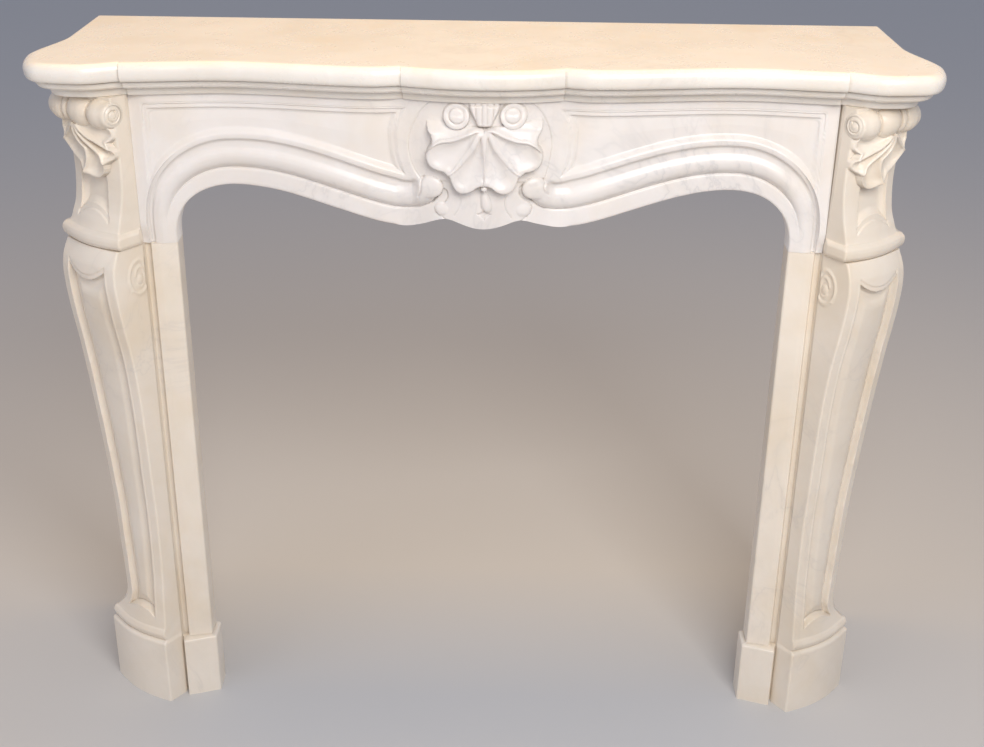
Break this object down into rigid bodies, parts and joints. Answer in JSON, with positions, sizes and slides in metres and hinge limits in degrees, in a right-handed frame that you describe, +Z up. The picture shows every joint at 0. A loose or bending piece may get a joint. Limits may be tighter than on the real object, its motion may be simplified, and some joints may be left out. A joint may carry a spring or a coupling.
{
  "type": "fireplace mantel",
  "caption": "Carved white marble fireplace mantel with a serpentine shelf, arched frieze with a shell, and canted scroll-shouldered console legs.",
  "frame": {"origin": "on the floor, midway across the width and the depth of the shelf", "axes": "+X to the viewer's right along the shelf, +Y from the carved front towards the wall, +Z up"},
  "size_m": [1.27, 0.337, 1.08],
  "materials": {
    "shelf_marble": "polished warm white marble with faint grey veins",
    "carved_marble": "honed and softly polished white marble with faint grey veins"
  },
  "bodies": {
    "root": {"shelf": "shelf_marble", "frieze": "carved_marble", "corner_block_left": "carved_marble", "corner_block_right": "carved_marble", "console_leg_left": "carved_marble", "console_leg_right": "carved_marble", "inner_jamb_left": "carved_marble", "inner_jamb_right": "carved_marble", "side_return_left": "carved_marble", "side_return_right": "carved_marble"}
  },
  "joints": []
}
